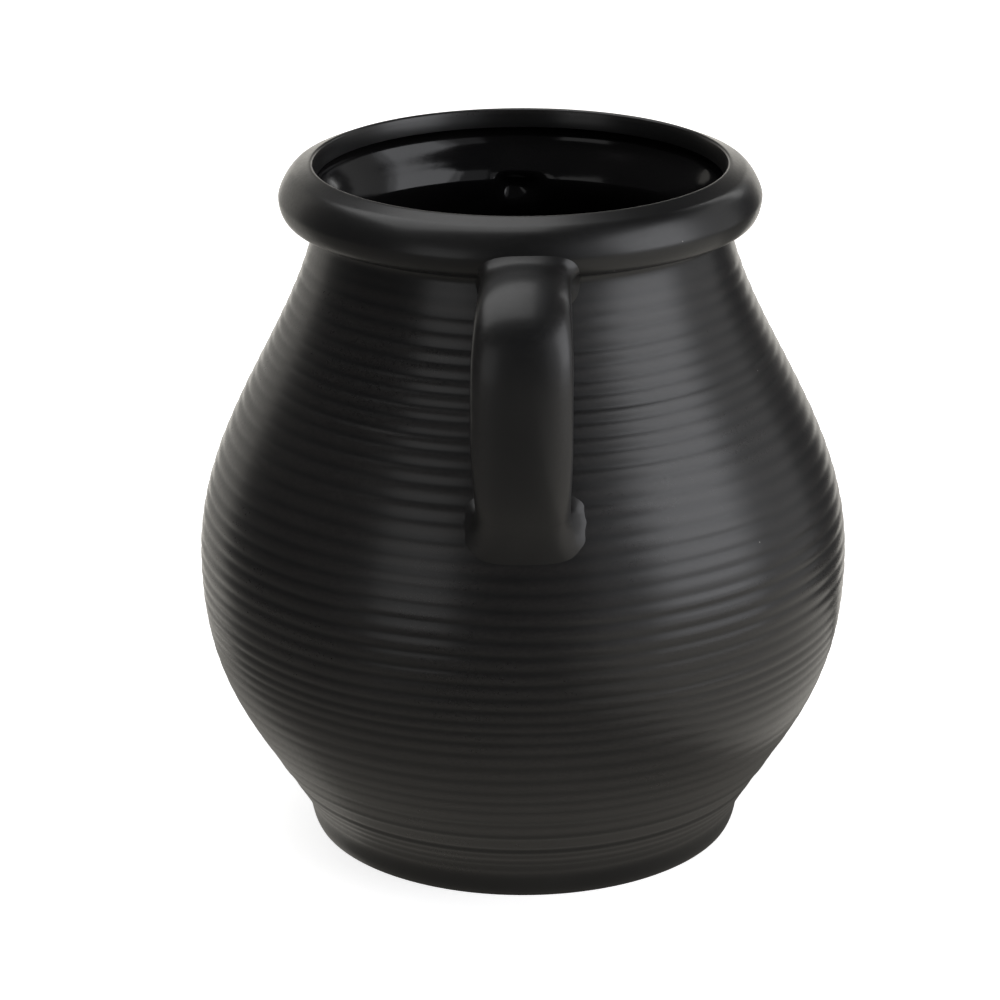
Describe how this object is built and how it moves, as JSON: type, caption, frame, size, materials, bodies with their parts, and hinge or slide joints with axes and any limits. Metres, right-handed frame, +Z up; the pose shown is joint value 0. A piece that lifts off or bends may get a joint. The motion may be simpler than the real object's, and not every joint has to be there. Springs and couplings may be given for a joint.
{
  "type": "two-handled clay pot",
  "caption": "Round pear-shaped black clay pot with a rolled lip, a short neck, fine turning ribs, a low foot and two upright strap handles.",
  "frame": {"origin": "middle of the foot's underside, on the surface the pot stands on", "axes": "+Z up along the pot's own axis, the two strap handles towards -Y (front) and +Y (rear), +X to the right seen from the front"},
  "size_m": [0.2106, 0.2224, 0.2226],
  "materials": {
    "black_clay": "satin matte, fired black",
    "black_glaze": "glossy, inside of the pot",
    "bare_foot": "matte, wiped foot"
  },
  "bodies": {
    "root": {"foot_ring": "bare_foot", "base_disc": "black_glaze", "lower_wall": "black_clay", "shoulder_wall": "black_clay", "neck_collar": "black_clay", "lip_roll": "black_clay", "front_handle": "black_clay", "front_upper_joint": "black_clay", "front_lower_joint": "black_clay", "rear_handle": "black_clay", "rear_upper_joint": "black_clay", "rear_lower_joint": "black_clay"}
  },
  "joints": []
}
